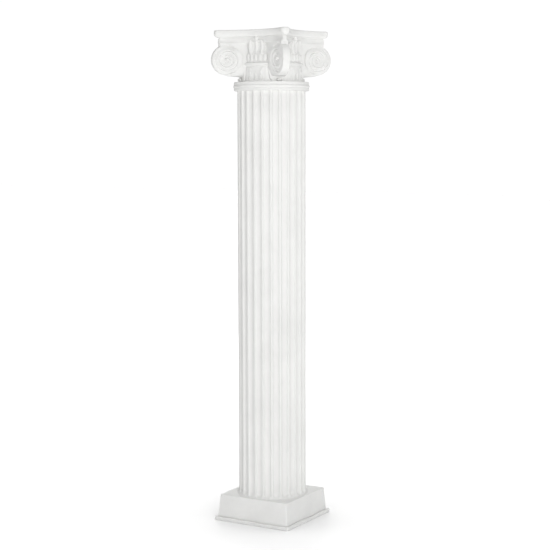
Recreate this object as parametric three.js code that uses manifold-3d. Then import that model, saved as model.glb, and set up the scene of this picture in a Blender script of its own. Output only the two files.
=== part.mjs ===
// A white fluted column about two metres tall: a low square plinth, a fluted shaft
// and an angular Ionic capital whose four volutes stand on the diagonals.
// Lengths are in millimetres and +Z is up. The origin is the middle of the underside.
// The plinth's faces are square to X and Y, so the volutes point to the corners.

import * as THREE from 'three';
import { mergeVertices } from 'three/addons/utils/BufferGeometryUtils.js';
import Module from 'manifold-3d';

const wasm = await Module();
wasm.setup();

// Shaft
const shaftRadius = 138.5;
const shaftHeight = 1653;
const fluteCount = 24;
const filletWidth = 8.5;
const fluteDepth = 7;
const footFlare = 16.5;
const footFlareHeight = 36;
const footFlareRoundness = 0.96;
const fluteFootGap = 2.5;
const fluteHeadGap = 5;

// Plinth
const plinthHeight = 106;
const plinthMargin = 2.5;
const plinthDraft = 7;
const plinthLipHeight = 12;
const plinthLip = 11;

// Capital, from the collar ring up
const collarHeight = 35;
const collarProjection = 14;
const collarBead = 2.5;
const collarBeadEase = 3;
const neckInset = 16.5;
const neckHeight = 63;
const beadHeight = 14;
const beadProjection = 5;
const beadEase = 3.5;
const tongueRowHeight = 34;
const tongueBedInset = 3;
const channelHeight = 42;
const channelInset = 14;
const channelSlope = 4;

// Abacus, with concave sides and cut corners
const abacusLowerHeight = 24;
const abacusUpperHeight = 29;
const abacusWaist = 4;
const abacusSetBack = 13;
const abacusCornerSetBack = 15;
const abacusLowerFlare = 2;
const abacusNose = 6;
const abacusNoseFoot = 9;
const abacusNoseCut = 27;
const abacusTopEase = 4;
const abacusReach = 112;
const abacusCornerCut = 36;
const abacusLowerCut = 16;

// Volutes on the diagonals
const voluteRadius = 59.5;
const voluteOverhang = 13.5;
const voluteDrop = 5.5;
const voluteBand = 29;
const voluteSplay = 0.268;
const voluteEyeRadius = 7.5;
const voluteEyeRise = 2;
const voluteRelief = 4;
const grooveWidth = 5;
const grooveStart = 50;
const groovePitch = 15.5;
const grooveTurns = 2.25;
const webStep = 5.4;
const webDrop = 8.5;
const webMiddleDrop = 5;
const webMiddleInset = 8;
const webFootReach = 12;
const cornerProjection = 3;
const webRamp = 20;
const webNose = 24;
const webRootInset = 36;
const webTopSetBack = 7;

// Carved ornament on each face; the fleuron's lobes are shares of its width and height
const tonguesPerFace = 5;
const tonguePitch = 20;
const tongueWidth = 16;
const tongueProjection = 7;
const fleuronWidth = 74;
const fleuronHeight = 70;
const fleuronProjection = 9;
const fleuronLift = 2;
const fleuronLobes = [
  { across: 0, up: 0.38, halfAcross: 0.09, halfUp: 0.38, lean: 0 },
  { across: -0.32, up: 0.38, halfAcross: 0.14, halfUp: 0.38, lean: 0.1 },
  { across: 0.32, up: 0.38, halfAcross: 0.14, halfUp: 0.38, lean: -0.1 },
  { across: 0, up: 0.8, halfAcross: 0.15, halfUp: 0.2, lean: 0 },
];
const leafWidth = 46;
const leafHeight = 58;
const leafProjection = 6;
const leafTurn = 18;
const curlWidth = 22;
const curlHeight = 15;
const curlProjection = 7;

// What follows from those sizes
const footRadius = shaftRadius + footFlare;
const shaftTop = plinthHeight + shaftHeight;
const neckFoot = collarHeight;
const beadFoot = neckFoot + neckHeight;
const tongueFoot = beadFoot + beadHeight;
const channelFoot = tongueFoot + tongueRowHeight;
const abacusFoot = channelFoot + channelHeight;
const abacusMiddle = abacusFoot + abacusLowerHeight;
const abacusTop = abacusMiddle + abacusUpperHeight;
const neckRadius = shaftRadius - neckInset;
const channelRadius = neckRadius - channelInset;
const abacusCorner = neckRadius + abacusReach;
const voluteCentreOut = abacusCorner + voluteOverhang - voluteRadius;
const voluteCentreUp = abacusFoot - voluteRadius - voluteDrop;

// How finely round shapes are cut
const turnSegments = 32;
const fluteSteps = 4;
const abacusSteps = 8;
const discSteps = 20;
const grooveStepsPerTurn = 8;
const grooveEndShare = 0.4;
const grooveEaseIn = 3;
const grooveEaseOut = 6;
const bumpSegments = 7;
const eyeSteps = 8;

// A bump's profile as shares of its half width and its projection
const domeProfile = [[0, -0.7], [1, 0], [0.74, 0.68], [0, 1]];

// Depths of a flute over the rows of its round end, and the height that keeps those rows apart
const fluteEndDepths = [0, 0.75, 1];
const fluteRowGap = 3;

// How far joined forms run into each other
const overlap = 1;

/** A closed geometry as a solid that can be joined and cut. */
function solid(geometry) {
  let bare = geometry.index ? geometry.toNonIndexed() : geometry.clone();
  for (const name of Object.keys(bare.attributes)) {
    if (name !== 'position') bare.deleteAttribute(name);
  }
  bare = mergeVertices(bare, 1e-4);
  return new wasm.Manifold(new wasm.Mesh({
    numProp: 3,
    vertProperties: new Float32Array(bare.attributes.position.array),
    triVerts: new Uint32Array(bare.index.array),
  }));
}

/** The geometry of a joined or cut solid. */
function geometryOf(body) {
  const mesh = body.getMesh();
  const geometry = new THREE.BufferGeometry();
  geometry.setAttribute('position', new THREE.BufferAttribute(mesh.vertProperties, 3));
  geometry.setIndex(new THREE.BufferAttribute(mesh.triVerts, 1));
  geometry.computeVertexNormals();
  return geometry;
}

/** A skin over a grid of rings, each a closed loop of points, with flat ends. */
function loft(rings) {
  const count = rings[0].length;
  const positions = rings.flat().flatMap((point) => [point.x, point.y, point.z]);
  const low = rings.length * count;
  const high = low + 1;
  const middle = (ring) => ring.reduce((sum, point) => sum.add(point), new THREE.Vector3())
    .multiplyScalar(1 / count);
  positions.push(...middle(rings[0]).toArray(), ...middle(rings.at(-1)).toArray());
  const faces = [];
  for (let row = 0; row + 1 < rings.length; row += 1) {
    for (let i = 0; i < count; i += 1) {
      const j = (i + 1) % count;
      const [a, b] = [row * count + i, row * count + j];
      const [c, d] = [a + count, b + count];
      faces.push(a, b, d, a, d, c);
    }
  }
  const last = (rings.length - 1) * count;
  for (let i = 0; i < count; i += 1) {
    const j = (i + 1) % count;
    faces.push(low, j, i, high, last + i, last + j);
  }
  const geometry = new THREE.BufferGeometry();
  geometry.setAttribute('position', new THREE.Float32BufferAttribute(positions, 3));
  geometry.setIndex(faces);
  geometry.computeVertexNormals();
  return geometry;
}

/** A turned shape from pairs of radius and height that start and end on the axis. */
function turned(profile) {
  const points = profile.map(([radius, height]) => new THREE.Vector2(radius, height));
  return new THREE.LatheGeometry(points, turnSegments).rotateX(Math.PI / 2);
}

/** A square ring of four corners at one height. */
function square(half, height) {
  return [[-1, -1], [1, -1], [1, 1], [-1, 1]]
    .map(([x, y]) => new THREE.Vector3(x * half, y * half, height));
}

/** The plinth: a block that narrows upwards, on a thin lip. */
function plinthGeometry() {
  const halfTop = footRadius + plinthMargin;
  const halfFoot = halfTop + plinthDraft;
  const halfLip = halfFoot + plinthLip;
  return loft([
    square(halfLip, 0),
    square(halfLip, plinthLipHeight),
    square(halfFoot, plinthLipHeight),
    square(halfTop, plinthHeight),
  ]);
}

/** How far the shaft's face stands out of its plain radius at a height above its foot. */
function flareAt(height) {
  if (height >= footFlareHeight) return 0;
  const share = 1 - height / footFlareHeight;
  const rise = (value) => 1 - Math.sqrt(1 - footFlareRoundness * value * value);
  return footFlare * rise(share) / rise(1);
}

/** The fluted shaft, from its foot at zero; flute ends are round. */
function shaftGeometry() {
  const step = 2 * Math.PI / fluteCount;
  const halfFlute = (step * shaftRadius - filletWidth) / 2;
  const column = (share) => {
    const across = halfFlute * share;
    const round = halfFlute - Math.sqrt(Math.max(halfFlute ** 2 - across ** 2, 0));
    return { across, round, depth: Math.sqrt(Math.max(1 - share * share, 0)) };
  };
  const shares = Array.from({ length: fluteSteps + 1 }, (_, i) => -Math.cos(i * Math.PI / fluteSteps));
  const columns = shares.map(column);
  const ring = (place) => {
    const points = [];
    for (let flute = 0; flute < fluteCount; flute += 1) {
      for (const each of columns) {
        const [height, sunk] = place(each);
        const angle = (flute + 0.5) * step + each.across / shaftRadius;
        const radius = shaftRadius + flareAt(height) - sunk;
        points.push(new THREE.Vector3(radius * Math.cos(angle), radius * Math.sin(angle), height));
      }
    }
    return points;
  };
  const lastRow = fluteEndDepths.length - 1;
  const endRows = fluteEndDepths.map((deep, row) => ({ deep, along: row / lastRow, row }));
  const footRing = ({ deep, along, row }) => ring((each) => {
    const start = fluteFootGap + each.round;
    const end = fluteFootGap + halfFlute;
    return [start + (end - start) * along + row * fluteRowGap, fluteDepth * deep * each.depth];
  });
  const headRing = ({ deep, along, row }) => ring((each) => {
    const start = shaftHeight - fluteHeadGap - each.round;
    const end = shaftHeight - fluteHeadGap - halfFlute;
    return [start + (end - start) * along - row * fluteRowGap, fluteDepth * deep * each.depth];
  });
  return loft([
    ring(() => [0, 0]),
    ring(() => [fluteFootGap / 2, 0]),
    ...endRows.map(footRing),
    ring((each) => [footFlareHeight + fluteRowGap, fluteDepth * each.depth]),
    ...endRows.reverse().map(headRing),
    ring(() => [shaftHeight, 0]),
  ]);
}

/** A flat outline standing on the diagonal, thickened to both sides by amounts that vary outwards. */
function standing(shape, halfThickness, lowSide = (out) => -halfThickness(out)) {
  const geometry = new THREE.ExtrudeGeometry(shape, { depth: 1, bevelEnabled: false, curveSegments: 1 });
  const position = geometry.attributes.position;
  for (let i = 0; i < position.count; i += 1) {
    const [out, up, share] = [position.getX(i), position.getY(i), position.getZ(i)];
    const across = halfThickness(out) + (lowSide(out) - halfThickness(out)) * share;
    position.setXYZ(i, out, across, up);
  }
  return solid(geometry);
}

/** The closed outline through a list of pairs. */
function outline(pairs) {
  return new THREE.Shape(pairs.map(([x, y]) => new THREE.Vector2(x, y)));
}

/** Half the thickness of a volute at a distance from the axis: it widens inwards. */
function voluteHalf(out) {
  return voluteBand / 2 + voluteSplay * (voluteCentreOut + voluteRadius - out);
}

/** A point of the volute's face by radius and turns, which run from its top outwards. */
function volutePoint(radius, turns) {
  const angle = Math.PI / 2 - 2 * Math.PI * turns;
  return [voluteCentreOut + radius * Math.cos(angle), voluteCentreUp + radius * Math.sin(angle)];
}

/** The outline of the groove that winds in to the eye. */
function grooveOutline() {
  const steps = Math.round(grooveTurns * grooveStepsPerTurn);
  const side = (offset) => Array.from({ length: steps + 1 }, (_, i) => {
    const turns = i / grooveStepsPerTurn;
    const easing = Math.min(i / grooveEaseIn, (steps - i) / grooveEaseOut);
    const across = offset * grooveWidth * Math.min(1, grooveEndShare + easing);
    return volutePoint(grooveStart - groovePitch * turns + across, turns);
  });
  return outline([...side(0.5), ...side(-0.5).reverse()]);
}

/** A round outline about the volute's centre. */
function circleOutline(radius, steps) {
  return outline(Array.from({ length: steps }, (_, i) => volutePoint(radius, i / steps)));
}

/** One volute on the +X side: web, disc, raised eye and a groove down each face. */
function voluteSolid() {
  const foot = voluteCentreUp - voluteRadius;
  const root = neckRadius - webRootInset;
  const web = outline([
    [root, neckFoot - overlap],
    [neckRadius + cornerProjection, neckFoot - overlap],
    [neckRadius + cornerProjection, foot - webDrop],
    [voluteCentreOut - webMiddleInset, foot - webMiddleDrop],
    [voluteCentreOut + webFootReach, foot + overlap],
    [voluteCentreOut + webNose, voluteCentreUp],
    [abacusCorner - abacusCornerSetBack - webTopSetBack, abacusFoot],
    [root, abacusFoot],
  ]);
  const webHalf = (out) => {
    const sunk = Math.min(1, Math.max(0, (voluteCentreOut - out) / webRamp));
    return voluteHalf(out) - webStep * sunk;
  };
  const groove = grooveOutline();
  const bottom = (out) => voluteHalf(out) - voluteRelief;
  const above = (out) => voluteHalf(out) + overlap;
  let body = standing(circleOutline(voluteRadius, discSteps), voluteHalf);
  body = body.add(standing(web, webHalf));
  body = body.subtract(standing(groove, above, bottom));
  body = body.subtract(standing(groove, (out) => -bottom(out), (out) => -above(out)));
  const eye = circleOutline(voluteEyeRadius, eyeSteps);
  return body.add(standing(eye, (out) => voluteHalf(out) + voluteEyeRise));
}

/** One closed ring of the abacus: four concave sides between cut corners. */
function abacusRing(corner, cut, middle, height) {
  const endAcross = (corner - cut / 2) / Math.SQRT2;
  const endOut = (corner + cut / 2) / Math.SQRT2;
  const sag = endOut - middle;
  const bend = (endAcross ** 2 + sag ** 2) / (2 * sag);
  const reach = Math.asin(endAcross / bend);
  const points = [];
  for (let side = 0; side < 4; side += 1) {
    for (let i = 0; i <= abacusSteps; i += 1) {
      const angle = reach * (2 * i / abacusSteps - 1);
      const point = new THREE.Vector3(middle + bend * (1 - Math.cos(angle)), bend * Math.sin(angle), height);
      points.push(point.applyAxisAngle(new THREE.Vector3(0, 0, 1), side * Math.PI / 2));
    }
  }
  return points;
}

/** The abacus: a lower band and an upper moulding with a rounded nose. */
function abacusSolid() {
  const upper = neckRadius + abacusWaist;
  const lower = upper - abacusSetBack;
  const flared = lower + abacusLowerFlare;
  const corner = abacusCorner - abacusCornerSetBack;
  const eased = abacusCorner - abacusTopEase;
  const noseUp = abacusMiddle + abacusNoseFoot;
  const noseHead = abacusTop - abacusTopEase;
  return solid(loft([
    abacusRing(corner, abacusLowerCut, lower, abacusFoot),
    abacusRing(corner + abacusLowerFlare, abacusLowerCut, flared, abacusMiddle),
    abacusRing(abacusCorner - abacusNose, abacusNoseCut, upper - abacusNose, abacusMiddle + overlap),
    abacusRing(abacusCorner, abacusCornerCut, upper, noseUp),
    abacusRing(abacusCorner, abacusCornerCut, upper, noseHead),
    abacusRing(eased, abacusCornerCut - abacusTopEase, upper - abacusTopEase, abacusTop),
  ]));
}

/** The turned core: collar with its bead, neck, astragal, tongue bed and channel bed. */
function coreSolid() {
  const collar = shaftRadius + collarProjection;
  const bead = neckRadius + beadProjection;
  const fillet = collarHeight / 3;
  return solid(turned([
    [0, 0],
    [collar, 0],
    [collar, fillet],
    [collar + collarBead, fillet + collarBeadEase],
    [collar + collarBead, fillet * 2 - collarBeadEase],
    [collar, fillet * 2],
    [collar, neckFoot],
    [neckRadius, neckFoot],
    [neckRadius, beadFoot],
    [bead, beadFoot + beadEase],
    [bead, tongueFoot - beadEase],
    [neckRadius - tongueBedInset, tongueFoot],
    [neckRadius - tongueBedInset, channelFoot],
    [channelRadius, channelFoot + channelSlope],
    [channelRadius, abacusFoot + overlap],
    [0, abacusFoot + overlap],
  ]));
}

/** A rounded bump that faces +X, by half sizes, place and lean; its back is sunk in what bears it. */
function bump(halfOut, halfAcross, halfUp, out, across, up, lean = 0) {
  const dome = domeProfile.map(([radius, rise]) => new THREE.Vector2(radius, rise));
  const geometry = new THREE.LatheGeometry(dome, bumpSegments).rotateZ(-Math.PI / 2);
  geometry.scale(halfOut, halfAcross, halfUp);
  geometry.rotateX(lean);
  geometry.translate(out, across, up);
  return solid(geometry);
}

/** The ornament of the face on the +X side: tongues, fleuron and neck leaves. */
function faceOrnament() {
  const pieces = [];
  const tongueBed = neckRadius - tongueBedInset;
  const tongueUp = tongueFoot + tongueRowHeight / 2;
  for (let i = 0; i < tonguesPerFace; i += 1) {
    const across = (i - (tonguesPerFace - 1) / 2) * tonguePitch;
    const out = Math.sqrt(tongueBed ** 2 - across ** 2);
    pieces.push(bump(tongueProjection, tongueWidth / 2, tongueRowHeight / 2, out, across, tongueUp));
  }
  for (const lobe of fleuronLobes) {
    const halfAcross = fleuronWidth * lobe.halfAcross;
    const halfUp = fleuronHeight * lobe.halfUp;
    const across = fleuronWidth * lobe.across;
    const up = channelFoot + fleuronHeight * lobe.up;
    const out = channelRadius + fleuronLift;
    pieces.push(bump(fleuronProjection, halfAcross, halfUp, out, across, up, lobe.lean));
  }
  const leafUp = neckFoot + leafHeight / 2 - overlap;
  const leaf = bump(leafProjection, leafWidth / 2, leafHeight / 2, neckRadius - overlap, 0, leafUp);
  for (const side of [-1, 1]) {
    pieces.push(leaf.rotate([0, 0, side * leafTurn]));
  }
  return wasm.Manifold.union(pieces);
}

/** The capital as one casting, from the collar's underside at zero. */
function capitalGeometry() {
  const curlUp = neckFoot + curlHeight / 2 - overlap;
  const curlOut = neckRadius + cornerProjection;
  const curl = bump(curlProjection, curlWidth / 2, curlHeight / 2, curlOut, 0, curlUp);
  const corner = voluteSolid().add(curl).rotate([0, 0, 45]);
  const face = faceOrnament();
  const pieces = [coreSolid(), abacusSolid()];
  for (let number = 0; number < 4; number += 1) {
    const turn = [0, 0, number * 90];
    pieces.push(corner.rotate(turn), face.rotate(turn));
  }
  return geometryOf(wasm.Manifold.union(pieces));
}

const white = new THREE.Color(0xf1f1ee);
const column = new THREE.Group();

/** Adds a named piece at its height, with a matt white finish of its own. */
function addPiece(name, geometry, height) {
  const finish = new THREE.MeshStandardMaterial({ color: white, roughness: 0.7, metalness: 0 });
  const mesh = new THREE.Mesh(geometry, finish);
  mesh.name = name;
  mesh.position.z = height;
  column.add(mesh);
}

addPiece('plinth', plinthGeometry(), 0);
addPiece('shaft', shaftGeometry(), plinthHeight);
addPiece('capital', capitalGeometry(), shaftTop);

export default column;
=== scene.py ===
"""A white fluted column with an angular Ionic capital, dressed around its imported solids."""
import math

import bpy
import numpy as np
from bpy.props import FloatProperty, FloatVectorProperty, IntProperty, PointerProperty
from bpy.types import Operator, Panel, PropertyGroup
from mathutils import Matrix, Vector, noise


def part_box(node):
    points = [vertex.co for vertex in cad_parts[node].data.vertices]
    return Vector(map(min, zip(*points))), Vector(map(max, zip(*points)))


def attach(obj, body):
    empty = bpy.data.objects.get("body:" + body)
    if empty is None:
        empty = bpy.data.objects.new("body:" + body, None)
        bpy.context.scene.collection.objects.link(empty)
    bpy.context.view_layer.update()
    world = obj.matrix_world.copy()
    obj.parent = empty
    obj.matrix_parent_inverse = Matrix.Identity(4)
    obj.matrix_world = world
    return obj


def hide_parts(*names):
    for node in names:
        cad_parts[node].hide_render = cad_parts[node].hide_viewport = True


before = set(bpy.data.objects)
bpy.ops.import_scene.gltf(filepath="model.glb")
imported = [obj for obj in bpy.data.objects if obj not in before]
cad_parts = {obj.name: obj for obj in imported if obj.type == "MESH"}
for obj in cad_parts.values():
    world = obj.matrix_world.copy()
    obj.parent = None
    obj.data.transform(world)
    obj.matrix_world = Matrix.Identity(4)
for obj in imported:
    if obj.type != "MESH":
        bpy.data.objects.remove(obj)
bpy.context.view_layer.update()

bl_info = {
    "name": "Fluted Ionic Column",
    "version": (1, 0, 0),
    "blender": (4, 5, 0),
    "location": "View3D > Sidebar > Column",
    "description": "Builds a cast fluted column with an angular Ionic capital around its solids",
    "category": "Object",
}

PLINTH_LOW, PLINTH_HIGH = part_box("plinth")
SHAFT_LOW, SHAFT_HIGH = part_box("shaft")
CAPITAL_LOW, CAPITAL_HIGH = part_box("capital")
BODY = "root"
FACES = 4
ROOT2 = math.sqrt(2)
SURFACES = ("BSDF_PRINCIPLED", "BACKGROUND")
KEY_PLACE = (3.5, -3.9, 1.8)
REAR_PLACE = (-2.9, 4.2, 2.2)
LIGHT_AIM = (0, 0, 1.2)
LIGHT_SIDE = 1.2
SKY_HEIGHTS = (0.12, 0.24, 0.6, 0.8)
FLOOR_REACH = 30.0
SENSOR_WIDTH = 36
MOTTLE_SCALES = {"plinth": 11.0, "shaft": 7.0, "capital": 16.0}
PIT_SCALE = 260.0
WAVE_SCALE = 38.0
BUMP_HEIGHT = 0.0006
CARVING_STEP = 0.0009
CAP_RADIUS = 0.02
WAIST_HEIGHTS = (0, 0.004, 0.012, 0.019, 0.024)
WAIST_WIDTHS = (0.028, 0.021, 0.015, 0.017, 0.024)
KNOB_HEIGHTS = (0, 0.005, 0.009, 0.012, 0.018, 0.023, 0.027, 0.029)
KNOB_WIDTHS = (0.022, 0.022, 0.027, 0.034, 0.037, 0.035, 0.029, 0.023)


def length(name, default, description, low=0.0):
    """A length property in metres."""
    return FloatProperty(
        name=name, default=default, min=low, description=description, subtype="DISTANCE", unit="LENGTH",
    )


class PlinthSizes(PropertyGroup):
    """Sizes of the square plinth."""

    top_half: length("Top half side", 0.1575, "Half the side of the plinth's upper face")
    draft: length("Draft", 0.007, "How far each side leans out towards the foot")
    lip_height: length("Lip height", 0.0135, "Height of the thin lip around the foot")
    lip_uneven: length("Lip unevenness", 0.003, "How far the cast lip strays from an even height")
    corner_round: length("Corner rounding", 0.004, "Radius of the upright corners")
    edge_round: length("Edge rounding", 0.003, "Radius of the upper edges")


class ShaftSizes(PropertyGroup):
    """Sizes of the fluted shaft."""

    radius: length("Radius", 0.1385, "Radius over the fillets")
    flutes: IntProperty(name="Flutes", default=24, min=3, description="Number of flutes around the shaft")
    fillet: length("Fillet width", 0.0085, "Width of the flat strip between two flutes")
    depth: length("Flute depth", 0.009, "Depth of a flute at its middle")
    flare: length("Foot flare", 0.010, "How far the foot spreads beyond the plain radius")
    flare_height: length("Flare height", 0.024, "Height over which the foot spreads")
    foot_gap: length("Gap at the foot", 0.0025, "Plain strip below the flutes")


class CapitalSizes(PropertyGroup):
    """Heights and radii of the capital, from the collar up."""

    collar_height: length("Collar height", 0.035, "Height of the collar ring")
    collar_projection: length("Collar projection", 0.014, "How far the collar stands out of the shaft")
    collar_bead: length("Collar bead", 0.0025, "How far the collar's middle bead stands out")
    neck_radius: length("Neck radius", 0.122, "Radius of the neck")
    neck_height: length("Neck height", 0.063, "Height of the neck above the collar")
    bead_height: length("Astragal height", 0.014, "Height of the plain bead above the neck")
    bead_projection: length("Astragal projection", 0.0065, "How far the bead stands out of the neck")
    tongue_height: length("Tongue row height", 0.034, "Height of the row of tongues")
    channel_height: length("Channel height", 0.042, "Height of the band between tongues and abacus")
    channel_radius: length("Channel radius", 0.108, "Radius behind the fleuron")


class AbacusSizes(PropertyGroup):
    """Sizes of the concave-sided abacus."""

    lower_height: length("Lower band height", 0.024, "Height of the lower band")
    upper_height: length("Upper moulding height", 0.029, "Height of the upper moulding")
    upper_middle: length("Waist", 0.126, "Distance from the axis to the middle of an upper side")
    corner: length("Corner reach", 0.234, "Distance from the axis to a cut corner")
    corner_cut: length("Corner cut", 0.036, "Width of a cut corner")
    set_back: length("Set back", 0.013, "How far the lower band stands behind the upper moulding")
    corner_set_back: length("Corner set back", 0.015, "How far the lower band's corner stands back")


class VoluteSizes(PropertyGroup):
    """Sizes of the corner volutes."""

    radius: length("Radius", 0.0595, "Radius of a volute's disc")
    centre_out: length("Centre reach", 0.188, "Distance from the axis to a volute's centre")
    drop: length("Drop", 0.0055, "Gap between the disc's top and the abacus")
    band: length("Band width", 0.029, "Width of the outer edge")
    splay: FloatProperty(name="Splay", default=0.268, description="Slope of each face towards the bell")
    pinch: FloatProperty(name="Pinch", default=0.85, min=0, max=1,
                         description="Share of the splay that is taken off along the outer rim")
    eye: length("Eye radius", 0.0075, "Radius of the raised eye")
    eye_rise: length("Eye rise", 0.0068, "How far the eye stands out")
    dish: length("Dish", 0.006, "How far the face sinks inside its rim")
    groove: length("Groove depth", 0.0024, "Depth of the spiral groove")
    groove_width: length("Groove width", 0.0042, "Width of the spiral groove")
    groove_start: length("Groove start", 0.050, "Radius at which the groove starts at the top")
    groove_pitch: length("Groove pitch", 0.0155, "How far the groove winds in per turn")
    groove_turns: FloatProperty(name="Groove turns", default=2.35, min=0.5, description="Turns of the groove")
    web_step: length("Web step", 0.0075, "How far the plain web stands behind the disc")
    corner: length("Corner projection", 0.003, "How far the corner pieces stand out of the neck")


class OrnamentSizes(PropertyGroup):
    """Sizes of the carving on the capital."""

    fleuron: length("Fleuron height", 0.053, "Height of a fleuron's petals")
    petal_offset: length("Petal offset", 0.0245, "Distance from a fleuron's middle to a side petal")
    petal_half: length("Petal half width", 0.0088, "Half the width of a side petal")
    petal_rise: length("Petal rise", 0.014, "How far a side petal stands out")
    bud_half: length("Bud half width", 0.0062, "Half the width of a fleuron's bud")
    bud_rise: length("Bud rise", 0.0105, "How far a bud stands out")
    tongue_pitch: length("Tongue pitch", 0.020, "Distance between two tongues")
    tongue_rise: length("Tongue rise", 0.0068, "How far a tongue stands out")
    leaf_half: length("Leaf half width", 0.0225, "Half the width of a leaf on the neck")
    leaf_rise: length("Leaf rise", 0.0046, "How far a leaf on the neck stands out")
    curl_height: length("Curl height", 0.0165, "Height of a curled leaf tip")
    curl_depth: length("Curl half depth", 0.0095, "Half the depth of a curled leaf tip")
    curl_half: length("Curl half width", 0.0125, "Half the width of a curled leaf tip")


class FinishColours(PropertyGroup):
    """Colours of the cast finish."""

    cast: FloatVectorProperty(
        name="Cast white", default=(0.77, 0.77, 0.757), size=3, subtype="COLOR", min=0, max=1,
        description="Main colour of the matt casting",
    )
    cast_shade: FloatVectorProperty(
        name="Mottle", default=(0.69, 0.69, 0.678), size=3, subtype="COLOR", min=0, max=1,
        description="Colour of the faint mottling",
    )
    floor: FloatVectorProperty(
        name="Floor", default=(0.42, 0.42, 0.42), size=3, subtype="COLOR", min=0, max=1,
        description="Colour of the studio floor",
    )


class StudioLight(PropertyGroup):
    """Strengths of the soft studio light."""

    dome: FloatProperty(name="Dome", default=1.16, min=0, description="Strength of the dome overhead")
    horizon: FloatProperty(name="Horizon", default=0.88, min=0, max=1, description="Shade up to the horizon")
    sides: FloatProperty(name="Sides", default=0.1, min=0, max=1, description="Shade half way up the sky")
    key: FloatProperty(name="Key", default=103, min=0, unit="POWER", description="Power of the front light")
    rear: FloatProperty(name="Rear", default=65, min=0, unit="POWER", description="Power of the rear light")
    suns: IntProperty(name="Floor lights", default=8, min=1, description="Number of suns around the floor")
    floor: FloatProperty(name="Floor light", default=1.38, min=0, description="Strength of each floor sun")
    floor_height: FloatProperty(name="Floor light height", default=math.radians(26), subtype="ANGLE",
                                unit="ROTATION", description="Height of the floor suns above the horizon")
    floor_spread: FloatProperty(name="Floor light spread", default=math.radians(50), subtype="ANGLE",
                                unit="ROTATION", description="Apparent width of a floor sun")


class CameraPlace(PropertyGroup):
    """Place of the photograph's camera."""

    distance: length("Distance", 5.787, "Level distance from the column's axis")
    height: length("Height", 1.578, "Height above the floor")
    azimuth: FloatProperty(name="Azimuth", default=math.radians(30.98), subtype="ANGLE", unit="ROTATION",
                           description="Direction from the front face towards the right")
    tilt: FloatProperty(name="Tilt", default=math.radians(5.61), subtype="ANGLE", unit="ROTATION",
                        description="How far the camera looks down")
    roll: FloatProperty(name="Roll", default=math.radians(-0.166), subtype="ANGLE", unit="ROTATION",
                        description="Turn about the line of sight")
    lens: FloatProperty(name="Lens", default=92.64, subtype="DISTANCE_CAMERA", unit="CAMERA",
                        description="Focal length on a sensor 36 mm wide")
    shift: FloatProperty(name="Shift", default=0.00545, description="Sideways shift of the frame")


class Sock:
    """A shader value that takes part in Python arithmetic and adds Math nodes."""

    def __init__(self, tree, link):
        self.tree = tree
        self.link = link

    def _math(self, operation, *others):
        node = self.tree.nodes.new("ShaderNodeMath")
        node.operation = operation
        for socket, value in zip(node.inputs, (self, *others)):
            if isinstance(value, Sock):
                self.tree.links.new(value.link, socket)
            else:
                socket.default_value = value
        return Sock(self.tree, node.outputs[0])

    def __add__(self, other):
        return self._math("ADD", other)

    __radd__ = __add__

    def __mul__(self, other):
        return self._math("MULTIPLY", other)

    __rmul__ = __mul__

    def __sub__(self, other):
        return self._math("SUBTRACT", other)

    def __rsub__(self, other):
        return self * -1 + other


class Nodes:
    """A node tree, with one way to add a node."""

    def __init__(self, tree):
        self.tree = tree
        self.surface = next(node for node in self.tree.nodes if node.type in SURFACES)

    def node(self, kind, settings=None, inputs=None, output=0):
        """Adds a node, sets its settings first and then its sockets."""
        node = self.tree.nodes.new(kind)
        for key, value in (settings or {}).items():
            if key == "stops":
                ramp = node.color_ramp
                while len(ramp.elements) < len(value):
                    ramp.elements.new(0.5)
                for element, (place, shade) in zip(ramp.elements, value):
                    element.position = place
                    element.color = (shade, shade, shade, 1)
            else:
                setattr(node, key, value)
        for key, value in (inputs or {}).items():
            self.set(node.inputs[key], value)
        return Sock(self.tree, node.outputs[output])

    def set(self, socket, value):
        """Links or sets one socket."""
        if isinstance(value, Sock):
            self.tree.links.new(value.link, socket)
        else:
            socket.default_value = value

    def feed(self, **inputs):
        """Sets sockets of the surface shader by their names, with _ for a space."""
        for key, value in inputs.items():
            self.set(self.surface.inputs[key.replace("_", " ")], value)


def new_material(name):
    """An empty material with its own node tree."""
    material = bpy.data.materials.new(name)
    material.use_nodes = True
    return material


def cast_white(node):
    """The matt casting of one node: faint mottling, small pits and a dull uneven sheen."""
    name = f"cast_{node}"
    existing = bpy.data.materials.get(name)
    if existing:
        return existing
    colours = bpy.context.scene.column_colours
    material = new_material(name)
    shader = Nodes(material.node_tree)
    place = shader.node("ShaderNodeTexCoord", output=3)
    cloud = shader.node("ShaderNodeTexNoise", inputs={
        "Vector": place, "Scale": MOTTLE_SCALES[node], "Detail": 5.0, "Roughness": 0.6})
    patch = shader.node("ShaderNodeValToRGB", {"stops": [(0.38, 0.0), (0.68, 1.0)]}, {"Fac": cloud})
    pits = shader.node("ShaderNodeTexNoise", inputs={
        "Vector": place, "Scale": PIT_SCALE, "Detail": 2.0, "Roughness": 0.5})
    speck = shader.node("ShaderNodeValToRGB", {"stops": [(0.62, 0.0), (0.8, 1.0)]}, {"Fac": pits})
    stain = patch * 0.55 + speck * 0.25
    colour = shader.node("ShaderNodeMix", {"data_type": "RGBA"}, {
        0: stain, 6: (*colours.cast, 1), 7: (*colours.cast_shade, 1)}, output=2)
    waves = shader.node("ShaderNodeTexNoise", inputs={
        "Vector": place, "Scale": WAVE_SCALE, "Detail": 3.0, "Roughness": 0.5})
    height = waves * 0.7 + pits * 0.3 - speck * 0.2
    bump = shader.node("ShaderNodeBump", inputs={
        "Strength": 0.25, "Distance": BUMP_HEIGHT, "Height": height})
    shader.feed(Base_Color=colour, Roughness=0.62 + cloud * 0.14 - speck * 0.06, Normal=bump, IOR=1.46)
    return material


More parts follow.
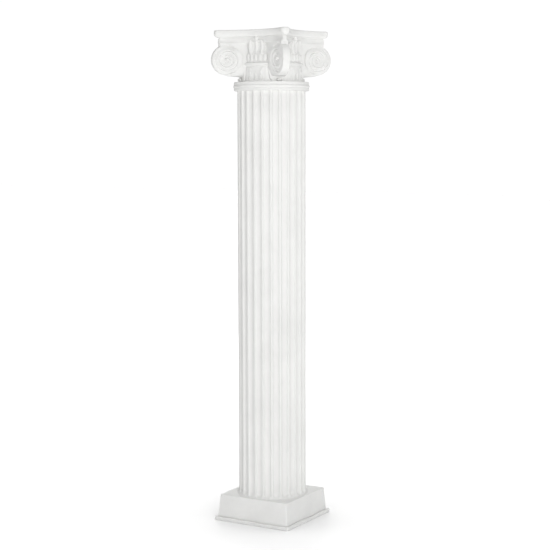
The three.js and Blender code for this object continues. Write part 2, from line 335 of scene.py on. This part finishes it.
def smooth_step(low, high, value):
    """0 below low, 1 above high, smooth between."""
    share = np.clip((value - low) / (high - low), 0, 1)
    return share * share * (3 - 2 * share)


def speckle(points, scale, seed):
    """Soft noise at each point, from -1 to 1."""
    shift = Vector((seed * 7.3, seed * 3.1, seed * 5.7))
    flat = points.reshape(-1, 3)
    values = np.array([noise.noise(Vector(point) * scale + shift) for point in flat])
    return values.reshape(points.shape[:-1])


def skin(name, grid, material, closed=True, poles=(False, False), caps=(False, False), sharp=40.0):
    """A mesh over a grid of points: rows of columns, closed around, with pole points or flat caps."""
    rows, columns = grid.shape[:2]
    index = np.arange(rows * columns).reshape(rows, columns)
    right = np.roll(index, -1, axis=1) if closed else index[:, 1:]
    left = index if closed else index[:, :-1]
    quads = np.stack([left[:-1], right[:-1], right[1:], left[1:]], axis=-1).reshape(-1, 4)
    faces = quads.tolist()
    points = grid.reshape(-1, 3).tolist()
    for end, row in ((0, 0), (1, rows - 1)):
        ring = index[row].tolist()
        if poles[end]:
            middle = len(points)
            points.append(grid[row].mean(axis=0).tolist())
            following = ring[1:] + ring[:1]
            pairs = zip(ring, following) if end else zip(following, ring)
            faces.extend([a, b, middle] for a, b in pairs)
        elif caps[end]:
            faces.append(ring if end else ring[::-1])
    mesh = bpy.data.meshes.new(name)
    mesh.from_pydata(points, [], faces)
    mesh.validate()
    mesh.shade_smooth()
    mesh.set_sharp_from_angle(angle=math.radians(sharp))
    mesh.materials.append(material)
    piece = bpy.data.objects.new(name, mesh)
    bpy.context.scene.collection.objects.link(piece)
    return piece


def settle(node, *pieces):
    """Each piece rides on the body and stands for its node, whose imported solid is hidden."""
    for piece in pieces:
        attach(piece, BODY)
        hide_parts(node)


def turned(grid_xyz, angle):
    """The points turned about the upright axis."""
    cos, sin = math.cos(angle), math.sin(angle)
    turn = np.array([[cos, -sin, 0], [sin, cos, 0], [0, 0, 1]])
    return grid_xyz @ turn.T


def round_grid(radius, angles, height):
    """A grid of points around the axis, with a radius and a height for each row."""
    shape = np.broadcast_shapes(radius.shape, angles.shape, height.shape)
    x, y = radius * np.cos(angles), radius * np.sin(angles)
    return np.stack([x, y, np.broadcast_to(height, shape)], axis=-1)


def on_each_quarter(name, grid, material, start=0.0, **settings):
    """Four numbered skins of the same grid, a quarter turn apart."""
    turns = [start + number * math.pi / 2 for number in range(FACES)]
    return [skin(f"{name}_{number}", turned(grid, turn), material, **settings)
            for number, turn in enumerate(turns, 1)]


def rounded_square(half, corner, per_side=26, per_corner=7):
    """Points around a square with rounded corners."""
    points = []
    straight = half - corner
    for side in range(FACES):
        turn = side * math.pi / 2
        line = [(half, share * straight) for share in np.linspace(-1, 1, per_side)]
        arc = [(straight + corner * math.cos(a), straight + corner * math.sin(a))
               for a in np.linspace(0, math.pi / 2, per_corner + 2)[1:-1]]
        for x, y in line + arc:
            points.append((x * math.cos(turn) - y * math.sin(turn), x * math.sin(turn) + y * math.cos(turn)))
    return np.array(points)


def build_plinth(sizes, material):
    """The plinth: a block with leaning sides and rounded edges on an uneven lip."""
    top, foot = PLINTH_HIGH.z, PLINTH_LOW.z
    half_lip = PLINTH_HIGH.x
    half_foot = sizes.top_half + sizes.draft
    lip_top = foot + sizes.lip_height
    edge = sizes.edge_round
    body_foot, body_top = lip_top + 0.002, top - edge
    lip_side = [
        (half_lip - 0.003, foot), (half_lip - 0.0008, foot + 0.0008), (half_lip, foot + 0.003),
        (half_lip, lip_top - 0.0035), (half_lip - 0.0009, lip_top - 0.001), (half_lip - 0.003, lip_top),
    ]
    groove = [
        (half_foot + 0.0012, lip_top), (half_foot - 0.0015, lip_top - 0.0012),
        (half_foot - 0.002, lip_top + 0.0006),
    ]
    body = [(half_foot - sizes.draft * share, body_foot + (body_top - body_foot) * share)
            for share in np.linspace(0, 1, 24)]
    rim = [(sizes.top_half - edge * (1 - math.cos(a)), top - edge * (1 - math.sin(a)))
           for a in np.linspace(0.2, math.pi / 2, 5)]
    cover = [(half, top) for half in np.linspace(sizes.top_half - edge - 0.002, 0.03, 14)]
    rings = []
    for half, height in lip_side + groove + body + rim + cover:
        ring = rounded_square(half, min(sizes.corner_round, half * 0.4))
        rings.append(np.column_stack([ring, np.full(len(ring), height)]))
    grid = np.array(rings)
    # The lip's upper edge wanders up and down and its outline wanders inwards.
    height = grid[..., 2]
    stray = speckle(grid * (1, 1, 0), 9.0, 1) + 0.5 * speckle(grid * (1, 1, 0), 27.0, 2)
    near_lip = smooth_step(foot + 0.001, lip_top - 0.002, height)
    fade = 1 - smooth_step(lip_top + 0.001, lip_top + 0.006, height)
    height += stray * sizes.lip_uneven * near_lip * fade
    on_lip = (height > foot + 0.0005) * (height < lip_top + 0.004)
    inward = 1 - 0.006 * np.clip(stray, -1, 1) * on_lip
    grid[..., :2] *= np.clip(inward, 0.99, 1.0)[..., None]
    # The sides above the lip are slightly wavy, as a cast block's are.
    wave = speckle(grid, 14.0, 3)
    side = smooth_step(lip_top + 0.004, lip_top + 0.02, height) * (height < body_top)
    grid[..., :2] *= (1 + 0.0022 * wave * side)[..., None]
    return skin("plinth_block", grid, material, poles=(False, True), caps=(True, False), sharp=50)


def flute_sink(across, half, depth):
    """How deep a flute is at a distance from its middle line: half an ellipse."""
    return depth * np.sqrt(np.clip(1 - (across / half) ** 2, 0, None))


def build_shaft(sizes, material):
    """The shaft: fine flutes that end round over a flared foot and run up under the collar."""
    foot, head = SHAFT_LOW.z, SHAFT_HIGH.z
    step = 2 * math.pi / sizes.flutes
    half = (step * sizes.radius - sizes.fillet) / 2
    per_flute = 48
    angles = np.arange(sizes.flutes * per_flute) * step / per_flute
    across = ((angles % step) - step / 2) * sizes.radius
    low_end = foot + sizes.foot_gap + half
    heights = np.concatenate([
        np.linspace(foot, low_end + 0.002, 26), np.linspace(low_end + 0.006, foot + sizes.flare_height, 6),
        np.linspace(low_end + 0.05, head, 12),
    ])
    # Below the centre of a flute's round end, depth follows the distance from that centre.
    past = np.maximum(low_end - heights, 0)
    reach = np.sqrt(across[None, :] ** 2 + past[:, None] ** 2)
    sunk = flute_sink(reach, half, sizes.depth)
    sunk = (np.roll(sunk, 1, axis=1) + 2 * sunk + np.roll(sunk, -1, axis=1)) / 4
    # The flare is nearly a quarter ellipse; a roundness of 1 would make it a full one.
    share = np.clip(1 - (heights - foot) / sizes.flare_height, 0, 1)
    roundness = 0.96
    flare = sizes.flare * (1 - np.sqrt(1 - roundness * share * share)) / (1 - math.sqrt(1 - roundness))
    grid = round_grid(sizes.radius + flare[:, None] - sunk, angles, heights[:, None])
    return skin("fluted_shaft", grid, material, caps=(True, True), sharp=60)


def profile_line(pairs, rounding=0.0008, step=0.0018):
    """A turned profile through pairs of radius and height, with its corners eased."""
    fine = [pairs[0]]
    for (r0, z0), (r1, z1) in zip(pairs, pairs[1:]):
        count = max(1, int(math.hypot(r1 - r0, z1 - z0) / step))
        fine.extend((r0 + (r1 - r0) * i / count, z0 + (z1 - z0) * i / count) for i in range(1, count + 1))
    line = np.array(fine)
    for _ in range(max(1, round(rounding / step * 2))):
        line[1:-1] = (line[:-2] + 2 * line[1:-1] + line[2:]) / 4
    return line


def build_core(shaft, sizes, material):
    """The turned core: collar, neck, astragal, tongue bed and channel bed."""
    foot = CAPITAL_LOW.z
    collar = shaft.radius + sizes.collar_projection
    fillet = sizes.collar_height / 3
    neck_foot = foot + sizes.collar_height
    bead_foot = neck_foot + sizes.neck_height
    tongue_foot = bead_foot + sizes.bead_height
    channel_foot = tongue_foot + sizes.tongue_height
    top = channel_foot + sizes.channel_height
    bulge = [(collar + sizes.collar_bead * math.sin(a), foot + fillet * 1.5 - fillet * 0.42 * math.cos(a))
             for a in np.linspace(0, math.pi, 9)]
    bead = [(sizes.neck_radius - 0.001 + (sizes.bead_projection + 0.001) * math.sin(a),
             bead_foot + sizes.bead_height * (0.5 - 0.46 * math.cos(a))) for a in np.linspace(0, math.pi, 11)]
    pairs = [
        (CAP_RADIUS, foot), (collar, foot), (collar, foot + fillet * 0.92), (collar - 0.0012, foot + fillet),
        *bulge, (collar - 0.0012, foot + fillet * 2), (collar, foot + fillet * 2.08), (collar, neck_foot),
        (sizes.neck_radius + 0.004, neck_foot + 0.0005), (sizes.neck_radius, neck_foot + 0.004),
        (sizes.neck_radius, bead_foot - 0.002), *bead, (sizes.neck_radius - 0.004, tongue_foot),
        (sizes.neck_radius - 0.002, tongue_foot + 0.005), (sizes.neck_radius - 0.004, channel_foot),
        (sizes.channel_radius, channel_foot + 0.004), (sizes.channel_radius, top + 0.002),
        (CAP_RADIUS, top + 0.002),
    ]
    line = profile_line(pairs)
    angles = np.linspace(0, 2 * math.pi, 192, endpoint=False)
    grid = round_grid(line[:, :1], angles, line[:, 1:])
    return skin("capital_bell", grid, material, caps=(True, True), sharp=50)


def abacus_ring(corner, cut, middle, height, per_side=60, per_corner=10):
    """One ring of the abacus: four concave sides between softly rounded cut corners."""
    end_across, end_out = (corner - cut / 2) / ROOT2, (corner + cut / 2) / ROOT2
    sag = end_out - middle
    bend = (end_across ** 2 + sag ** 2) / (2 * sag)
    reach = math.asin(end_across / bend)
    angles = np.linspace(-reach, reach, per_side)
    side = np.column_stack([middle + bend * (1 - np.cos(angles)), bend * np.sin(angles)])
    share = np.arange(1, per_corner + 1)[:, None] / (per_corner + 1)
    bulge = 0.07 * cut * np.sin(math.pi * share) / ROOT2
    run = np.concatenate([side, side[-1] + (side[-1][::-1] - side[-1]) * share + bulge])
    ring = np.concatenate([turned(np.column_stack([run, np.full(len(run), height)]), number * math.pi / 2)
                           for number in range(FACES)])
    for _ in range(3):
        ring = (np.roll(ring, 1, axis=0) + 2 * ring + np.roll(ring, -1, axis=0)) / 4
    return ring


def build_abacus(sizes, material):
    """The abacus: a lower band with waisted corners under a moulding with a rounded nose."""
    top = CAPITAL_HIGH.z
    middle_up = top - sizes.upper_height
    nose = [(-0.010 + 0.010 * math.sin(a), 0.0006 + 0.011 * (1 - math.cos(a)))
            for a in np.linspace(0, math.pi / 2, 9)]
    head = [(-0.006 * (1 - math.cos(a)), sizes.upper_height - 0.006 + 0.006 * math.sin(a))
            for a in np.linspace(0, math.pi / 2, 8)]
    rows = [(-sizes.set_back - 0.0015, -sizes.lower_height - 0.0005)]
    rows += [(-sizes.set_back, up) for up in np.linspace(0.0015 - sizes.lower_height, -0.0055, 12)]
    slot_back = -sizes.set_back - 0.0035
    rows += [(slot_back, -0.005), (slot_back, -0.0008), (-sizes.set_back + 0.0016, 0.0)]
    rows += nose + head
    rings = []
    for offset, up in rows:
        waisted = np.interp(up + sizes.lower_height, WAIST_HEIGHTS, WAIST_WIDTHS)
        # The upper moulding's corner swells to a knob, and its widest part is the corner cut.
        knobbed = np.interp(up, KNOB_HEIGHTS, KNOB_WIDTHS) * sizes.corner_cut / max(KNOB_WIDTHS)
        cut = waisted if up <= 0 else knobbed
        corner = sizes.corner + offset * (sizes.corner_set_back / sizes.set_back)
        rings.append(abacus_ring(corner, cut, sizes.upper_middle + offset, middle_up + up))
    return skin("abacus", np.array(rings), material, caps=(True, True), sharp=35)


def volute_half(sizes, out):
    """Half the thickness of a volute at a distance from the axis."""
    return sizes.band / 2 + sizes.splay * (sizes.centre_out + sizes.radius - out)


def volute_pinch(sizes, radius, angle):
    """How much thinner a volute is towards its outer rim, so that its band keeps one width."""
    out = sizes.centre_out + radius * np.cos(angle)
    upper = smooth_step(0.0, 0.5, angle) * (1 - smooth_step(1.7, 2.6, angle))
    lower = np.where(angle < 0, 1.0, smooth_step(3.7, 4.5, angle))
    lean = sizes.splay * (sizes.centre_out + sizes.radius - out)
    return sizes.pinch * lean * np.maximum(upper, lower) * smooth_step(0.5, 1, radius / sizes.radius)


def volute_relief(sizes, radius, turns):
    """Height of a volute's face by radius and turns from its top outwards: a bowl with a spiral."""
    height = -sizes.dish * (1 - smooth_step(0.1, 0.93, radius / sizes.radius))
    # Each lap adds the part of the spiral groove, and of the low ridge outside it, that it holds.
    for lap in range(4):
        along = turns + lap
        centre = sizes.groove_start - sizes.groove_pitch * along
        ends = smooth_step(0.0, 0.18, along)
        ends = ends * (1 - smooth_step(sizes.groove_turns - 0.25, sizes.groove_turns, along))
        deep = 1 + 0.9 * np.exp(-((along - 0.86) / 0.13) ** 2)
        width = sizes.groove_width * (0.6 + 0.4 * ends)
        height = height - sizes.groove * deep * ends * np.exp(-((radius - centre) / width * 1.6) ** 2)
        ridge = centre + sizes.groove_width * 0.95
        height = height + sizes.groove * 0.35 * ends * np.exp(-((radius - ridge) / width * 1.8) ** 2)
    # A raised eye stands in a shallow moat.
    eye = np.clip(1 - (radius / sizes.eye) ** 2, 0, None)
    moat = np.exp(-((radius - sizes.eye * 1.4) / (sizes.eye * 0.35)) ** 2)
    return height + sizes.eye_rise * np.sqrt(eye) - 0.0022 * moat


def build_volutes(sizes, abacus, material):
    """Four corner volutes, each one disc with spiral faces and a rounded outer band."""
    top = CAPITAL_HIGH.z - abacus.upper_height - abacus.lower_height
    centre_up = top - sizes.drop - sizes.radius
    turns = np.linspace(0, 1, 264, endpoint=False)
    angle = math.pi / 2 - 2 * math.pi * turns
    wrapped = np.mod(angle + math.pi / 2, 2 * math.pi) - math.pi / 2
    radii = np.concatenate([np.linspace(0.0006, sizes.radius - 0.003, 92),
                            sizes.radius - 0.0022 * np.array([0.75, 0.3])])
    out = sizes.centre_out + radii[:, None] * np.cos(angle)
    up = centre_up + radii[:, None] * np.sin(angle)
    edge = 0.0018 * smooth_step(sizes.radius - 0.004, sizes.radius, radii)[:, None]
    across = volute_half(sizes, out) + volute_relief(sizes, radii[:, None], turns[None, :]) - edge
    across -= volute_pinch(sizes, radii[:, None], wrapped[None, :])
    face = np.stack([out, across, up], axis=-1)
    rim_out = sizes.centre_out + sizes.radius * np.cos(angle)
    rim_half = volute_half(sizes, rim_out) - volute_pinch(sizes, sizes.radius, wrapped) - 0.0022
    band = []
    for share in np.linspace(1, -1, 11):
        crown = 0.0012 * (1 - share * share)
        radius = sizes.radius - 0.0006 * share ** 8 + crown * 0.5
        band.append(np.stack([
            sizes.centre_out + radius * np.cos(angle), rim_half * share, centre_up + radius * np.sin(angle),
        ], axis=-1))
    grid = np.concatenate([face, np.array(band), face[::-1] * (1, -1, 1)])
    return on_each_quarter("volute", grid, material, math.pi / 4, poles=(True, True), sharp=60)


def build_webs(capital, volute, abacus, material):
    """The plain webs that join the volutes to the bell, the collar and the abacus, sunk behind the discs."""
    abacus_foot = CAPITAL_HIGH.z - abacus.upper_height - abacus.lower_height
    top = abacus_foot + 0.0012
    collar = CAPITAL_LOW.z + capital.collar_height - 0.0006
    centre_up = abacus_foot - volute.drop - volute.radius
    foot = centre_up - volute.radius
    middle = volute.centre_out
    nose = middle + 0.029
    corner = capital.neck_radius + volute.corner
    outs = np.concatenate([
        np.linspace(capital.neck_radius * 0.66, corner - 0.004, 24),
        corner + np.array([-0.0016, -0.0004, 0.0, 0.0006]),
        np.linspace(corner + 0.003, nose - 0.003, 70), [nose - 0.0012, nose],
    ])
    # The lower edge leaves the collar, hangs under the disc and rises to its outer side.
    low = np.interp(outs, (corner - 0.0004, corner, middle - 0.008, middle + 0.012, nose),
                    (collar, foot - 0.0085, foot - 0.005, foot + 0.0018, centre_up))
    edge_shares, edge_cuts = (0, 0.002, 0.006, 0.015), (0.004, 0.0022, 0.0007, 0)
    shares = np.concatenate([edge_shares, np.linspace(0.04, 1, 60)])
    out = np.broadcast_to(outs[:, None], (len(outs), len(shares)))
    up = low[:, None] + (top - low[:, None]) * shares
    # The web hides inside the disc, widens to the disc's band at its upper outer end, and is
    # slimmer outside the disc's centre, at its rounded lower edge and at its outer end.
    reach = np.hypot(out - middle, up - centre_up)
    inside = 1 - smooth_step(volute.radius - 0.006, volute.radius - 0.002, reach)
    half = volute_half(volute, out) - volute.web_step
    rising = smooth_step(centre_up + volute.radius * 0.55, top, up)
    half = half + (volute.band / 2 - half) * rising * smooth_step(middle - 0.01, nose - 0.006, out)
    beyond = smooth_step(0, 0.02, out - middle) * (up < centre_up + 0.02)
    half = half - (volute.dish + 0.007) * inside - 0.003 * beyond
    half = half - np.interp(shares, edge_shares, edge_cuts)
    half = half * (0.5 + 0.5 * np.sqrt(1 - np.clip(1 - shares / 0.25, 0, 1) ** 2))
    half[-1] -= 0.004
    half[-2] -= 0.0012
    near, far = np.stack([out, half, up], axis=-1), np.stack([out, -half, up], axis=-1)
    rows = np.concatenate([near, far[:, ::-1]], axis=1)
    return on_each_quarter("volute_web", rows[::-1], material, math.pi / 4, caps=(True, True), sharp=40)


def petal(x, z, foot_z, reach, width, rise, vein):
    """Relief of one upright pointed petal with a sunk vein, in the middle of a face."""
    along = (z - foot_z) / reach
    side = x / width
    shape = np.clip(along, 0, 1) ** 0.55 * np.clip(1 - along, 0, 1) ** 0.45 * 1.35
    inside = np.clip(1 - (side / np.maximum(shape, 1e-4)) ** 2, 0, None) * (along > 0) * (along < 1)
    ends = smooth_step(0.05, 0.3, along) * (1 - smooth_step(0.75, 1, along))
    groove = vein * np.exp(-(side / 0.16) ** 2) * ends
    return rise * np.sqrt(inside) * (1 - groove) * (0.75 + 0.35 * along)


def knob(x, z, at_x, at_z, half_x, half_z, rise):
    """Relief of one round knob."""
    inside = 1 - ((x - at_x) / half_x) ** 2 - ((z - at_z) / half_z) ** 2
    return rise * np.sqrt(np.clip(inside, 0, None))


def relief_patch(name, low, high, width, base, relief, material):
    """A carved patch on one face: a fine grid whose points stand out by a relief."""
    columns, rows = int(width / CARVING_STEP), int((high - low) / CARVING_STEP)
    x, z = np.meshgrid(np.linspace(-width / 2, width / 2, columns), np.linspace(low, high, rows))
    height = relief(x, z)
    # Where nothing is carved, the patch lies hidden inside the core.
    sunk = np.where(height > 0.0002, 0.0, -0.004)
    out = base(x, z) + height + sunk
    return on_each_quarter(name, np.stack([out, x, z], axis=-1), material, closed=False, sharp=70)


def lobe(x, z, at_x, foot, tall, half, rise, lean=0.0, fold=0.0):
    """Relief of one upright petal: round shouldered, with a fold down its middle."""
    up = (z - foot) / tall
    side = (x - at_x - lean * (z - foot)) / half
    swell = np.clip(np.sin(np.clip(up, 0, 1) * math.pi), 0, None) ** 0.3
    inside = np.clip(1 - (side / np.maximum(swell, 1e-4)) ** 2, 0, None) * (up > 0) * (up < 1)
    return rise * np.sqrt(inside) * (1 - fold * np.exp(-(side / 0.3) ** 2))


def build_fleurons(capital, abacus, ornament, material):
    """A flower on each face: a bud between two broad petals, with a tip over the abacus."""
    top = CAPITAL_HIGH.z
    foot = top - abacus.upper_height - abacus.lower_height - capital.channel_height
    body = ornament.fleuron

    def relief(x, z):
        parts = [
            lobe(x, z, 0, foot + 0.001, body * 0.88, ornament.bud_half, ornament.bud_rise),
            # The tip over the abacus, the band under it, the swelling at the foot, the oval ground.
            knob(x, z, 0, foot + body + 0.008, 0.0098, 0.0115, 0.0088),
            knob(x, z, 0, foot + body * 0.95, 0.020, 0.0055, 0.0078),
            knob(x, z, 0, foot + 0.002, 0.026, 0.0065, 0.0080),
            0.0022 * (np.hypot(x / 0.030, (z - foot - body / 2) / (body / 2)) < 1),
        ]
        for side in (-1, 1):
            bow = 0.004 * np.sin(np.clip((z - foot) / body, 0, 1) * math.pi)
            parts.append(lobe(x - side * bow, z, side * ornament.petal_offset, foot - 0.003, body + 0.004,
                              ornament.petal_half, ornament.petal_rise, fold=0.1))
        return np.maximum.reduce(parts)

    def base(x, z):
        waist = abacus.upper_middle - abacus.set_back - 0.001
        behind = capital.channel_radius + 0.002
        return behind + (waist - behind) * smooth_step(foot + 0.026, foot + 0.05, z)

    return relief_patch("fleuron", foot - 0.006, foot + body + 0.018, 0.084, base, relief, material)


def build_tongues(capital, ornament, material):
    """The row of tongues above the bead on each face."""
    foot = CAPITAL_LOW.z + capital.collar_height + capital.neck_height + capital.bead_height
    middle = foot + capital.tongue_height / 2 + 0.001
    pitch = ornament.tongue_pitch

    def relief(x, z):
        parts = []
        for number in range(-2, 3):
            parts.append(knob(x, z, number * pitch, middle, pitch * 0.40, capital.tongue_height * 0.5,
                              ornament.tongue_rise))
            # A thin dart stands between two tongues.
            parts.append(knob(x, z, (number + 0.5) * pitch, middle - 0.004, 0.0016, 0.011, 0.0035))
        return np.maximum.reduce(parts)

    def base(x, z):
        return np.sqrt(np.clip((capital.neck_radius - 0.003) ** 2 - x * x, 0, None))

    return relief_patch("tongues", foot, foot + capital.tongue_height + 0.003, 0.104, base, relief, material)


def build_neck_leaves(capital, ornament, material):
    """Broad folded leaves on the neck of each face, either side of a small pointed bud."""
    foot = CAPITAL_LOW.z + capital.collar_height

    def relief(x, z):
        parts = [petal(x, z, foot - 0.006, 0.040, 0.006, 0.0035, 0.2)]
        for side in (-1, 1):
            parts.append(lobe(x, z, side * 0.034, foot - 0.014, 0.072, ornament.leaf_half,
                              ornament.leaf_rise, lean=side * 0.05, fold=0.3))
            # Two buds stand on each leaf, one over the other.
            parts.append(knob(x, z, side * 0.025, foot + 0.034, 0.0042, 0.0095, 0.0078))
            parts.append(knob(x, z, side * 0.031, foot + 0.012, 0.0045, 0.0085, 0.0066))
        return np.maximum.reduce(parts)

    def base(x, z):
        return np.sqrt(np.clip(capital.neck_radius ** 2 - x * x, 0, None)) - 0.0004

    top = foot + capital.neck_height - 0.003
    return relief_patch("neck_leaves", foot, top, 0.112, base, relief, material)


def build_curls(capital, ornament, material):
    """The curled leaf tips on the collar under each volute."""
    foot = CAPITAL_LOW.z + capital.collar_height
    around = np.linspace(0, 2 * math.pi, 32, endpoint=False)
    rows = []
    for share in np.linspace(0.02, 0.98, 26):
        swell = math.sin(math.pi * share) ** 0.6
        height = foot - 0.001 + ornament.curl_height * share
        out = capital.neck_radius + 0.006 + 0.005 * share + ornament.curl_depth * swell * np.cos(around)
        across = ornament.curl_half * swell * np.sin(around)
        rows.append(np.column_stack([out, across, np.full(len(around), height)]))
    return on_each_quarter("leaf_curl", np.array(rows), material, math.pi / 4, poles=(True, True), sharp=60)


class COLUMN_OT_plinth(Operator):
    """Build the square plinth"""

    bl_idname = "column.plinth"
    bl_label = "Build Plinth"

    def execute(self, context):
        settle("plinth", build_plinth(context.scene.column_plinth, cast_white("plinth")))
        return {"FINISHED"}


class COLUMN_OT_shaft(Operator):
    """Build the fluted shaft"""

    bl_idname = "column.shaft"
    bl_label = "Build Shaft"

    def execute(self, context):
        settle("shaft", build_shaft(context.scene.column_shaft, cast_white("shaft")))
        return {"FINISHED"}


class COLUMN_OT_bell(Operator):
    """Build the capital's turned core with its collar, and the curled leaf tips"""

    bl_idname = "column.bell"
    bl_label = "Build Bell"

    def execute(self, context):
        scene = context.scene
        material = cast_white("capital")
        settle("capital", build_core(scene.column_shaft, scene.column_capital, material))
        settle("capital", *build_curls(scene.column_capital, scene.column_ornament, material))
        return {"FINISHED"}


class COLUMN_OT_abacus(Operator):
    """Build the concave-sided abacus"""

    bl_idname = "column.abacus"
    bl_label = "Build Abacus"

    def execute(self, context):
        settle("capital", build_abacus(context.scene.column_abacus, cast_white("capital")))
        return {"FINISHED"}


class COLUMN_OT_volutes(Operator):
    """Build the four corner volutes and their webs"""

    bl_idname = "column.volutes"
    bl_label = "Build Volutes"

    def execute(self, context):
        scene = context.scene
        material = cast_white("capital")
        volute, abacus = scene.column_volute, scene.column_abacus
        settle("capital", *build_volutes(volute, abacus, material))
        settle("capital", *build_webs(scene.column_capital, volute, abacus, material))
        return {"FINISHED"}


class COLUMN_OT_ornament(Operator):
    """Carve the fleurons, tongues and neck leaves of the four faces"""

    bl_idname = "column.ornament"
    bl_label = "Carve Ornament"

    def execute(self, context):
        scene = context.scene
        material = cast_white("capital")
        capital, ornament = scene.column_capital, scene.column_ornament
        settle("capital", *build_fleurons(capital, scene.column_abacus, ornament, material))
        settle("capital", *build_tongues(capital, ornament, material))
        settle("capital", *build_neck_leaves(capital, ornament, material))
        return {"FINISHED"}


def light_dome(strength, stops):
    """A world whose shade follows the height above the horizon, by stops of height and shade."""
    world = bpy.data.worlds.new("studio")
    world.use_nodes = True
    sky = Nodes(world.node_tree)
    place = sky.node("ShaderNodeTexCoord")
    height = sky.node("ShaderNodeSeparateXYZ", inputs={"Vector": place}, output=2)
    shade = sky.node("ShaderNodeValToRGB", {"stops": stops}, {"Fac": height})
    sky.feed(Color=shade, Strength=strength)
    return world


def add_area(name, place, power):
    """A soft square light that faces the column."""
    light = bpy.data.lights.new(name, "AREA")
    light.shape = "SQUARE"
    light.size = LIGHT_SIDE
    light.energy = power
    lamp = bpy.data.objects.new(name, light)
    lamp.location = place
    lamp.visible_camera = False
    lamp.rotation_euler = (Vector(LIGHT_AIM) - Vector(place)).to_track_quat("-Z", "Y").to_euler()
    bpy.context.scene.collection.objects.link(lamp)


def light_floor(floor, settings):
    """Wide soft suns all round that light the floor alone, so the column leaves a soft shadow at its foot."""
    only = bpy.data.collections.new("floor_light_targets")
    only.objects.link(floor)
    for number in range(settings.suns):
        light = bpy.data.lights.new(f"floor_light_{number + 1}", "SUN")
        light.energy = settings.floor
        light.angle = settings.floor_spread
        lamp = bpy.data.objects.new(light.name, light)
        lamp.rotation_euler = (math.pi / 2 - settings.floor_height, 0,
                               (number + 0.5) * 2 * math.pi / settings.suns)
        lamp.light_linking.receiver_collection = only
        bpy.context.scene.collection.objects.link(lamp)


def add_floor(colour):
    """The level studio floor in one matt colour."""
    mesh = bpy.data.meshes.new("studio_floor")
    corners = [(x * FLOOR_REACH, y * FLOOR_REACH, 0) for x, y in ((-1, -1), (1, -1), (1, 1), (-1, 1))]
    mesh.from_pydata(corners, [], [(0, 1, 2, 3)])
    floor = bpy.data.objects.new("studio_floor", mesh)
    bpy.context.scene.collection.objects.link(floor)
    paint = new_material("floor_paint")
    Nodes(paint.node_tree).feed(Base_Color=(*colour, 1), Roughness=0.9)
    mesh.materials.append(paint)
    return floor


def add_camera(place):
    """A camera that stands and looks as the photograph's did."""
    camera = bpy.data.cameras.new("camera")
    camera.sensor_width = SENSOR_WIDTH
    camera.lens = place.lens
    camera.shift_x = place.shift
    eye = bpy.data.objects.new("camera", camera)
    sin, cos = math.sin(place.azimuth), math.cos(place.azimuth)
    ahead = Vector((-sin * math.cos(place.tilt), cos * math.cos(place.tilt), -math.sin(place.tilt)))
    right = Vector((cos, sin, 0))
    turn = Matrix((right, right.cross(ahead), -ahead)).transposed().to_4x4()
    stand = Matrix.Translation((sin * place.distance, -cos * place.distance, place.height))
    eye.matrix_world = stand @ turn @ Matrix.Rotation(place.roll, 4, "Z")
    bpy.context.scene.collection.objects.link(eye)
    return eye


class COLUMN_OT_stage(Operator):
    """Set the pale floor, the soft lights and the camera"""

    bl_idname = "column.stage"
    bl_label = "Set Stage"

    def execute(self, context):
        scene = context.scene
        light = scene.column_light
        floor = add_floor(scene.column_colours.floor)
        shades = (light.horizon, light.sides, light.sides, 1.0)
        scene.world = light_dome(light.dome, list(zip(SKY_HEIGHTS, shades)))
        add_area("key", KEY_PLACE, light.key)
        add_area("rear", REAR_PLACE, light.rear)
        light_floor(floor, light)
        scene.camera = add_camera(scene.column_camera)
        scene.view_settings.view_transform = "Standard"
        return {"FINISHED"}


class COLUMN_PT_panel(Panel):
    """Lists the column's sizes, colours and building steps"""

    bl_idname = "COLUMN_PT_panel"
    bl_label = "Fluted Column"
    bl_space_type = "VIEW_3D"
    bl_region_type = "UI"
    bl_category = "Column"

    def draw(self, context):
        for name in GROUPS:
            group = getattr(context.scene, name)
            box = self.layout.box()
            box.label(text=group.bl_rna.description)
            for key in group.__annotations__:
                box.prop(group, key)
        for step in STEPS:
            self.layout.operator(step.bl_idname)


GROUPS = {
    "column_plinth": PlinthSizes,
    "column_shaft": ShaftSizes,
    "column_capital": CapitalSizes,
    "column_abacus": AbacusSizes,
    "column_volute": VoluteSizes,
    "column_ornament": OrnamentSizes,
    "column_colours": FinishColours,
    "column_light": StudioLight,
    "column_camera": CameraPlace,
}
STEPS = (
    COLUMN_OT_stage, COLUMN_OT_plinth, COLUMN_OT_shaft, COLUMN_OT_bell, COLUMN_OT_abacus,
    COLUMN_OT_volutes, COLUMN_OT_ornament,
)
CLASSES = (*GROUPS.values(), *STEPS, COLUMN_PT_panel)


def register():
    """Registers the classes and hangs the property groups on the scene."""
    for each in CLASSES:
        bpy.utils.register_class(each)
    for name, group in GROUPS.items():
        setattr(bpy.types.Scene, name, PointerProperty(type=group))


def unregister():
    """Takes the property groups and classes away again."""
    for name in GROUPS:
        delattr(bpy.types.Scene, name)
    for each in reversed(CLASSES):
        bpy.utils.unregister_class(each)


def main():
    """Registers the add-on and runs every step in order."""
    register()
    for step in STEPS:
        group, name = step.bl_idname.split(".")
        getattr(getattr(bpy.ops, group), name)()


if __name__ == "__main__":
    main()
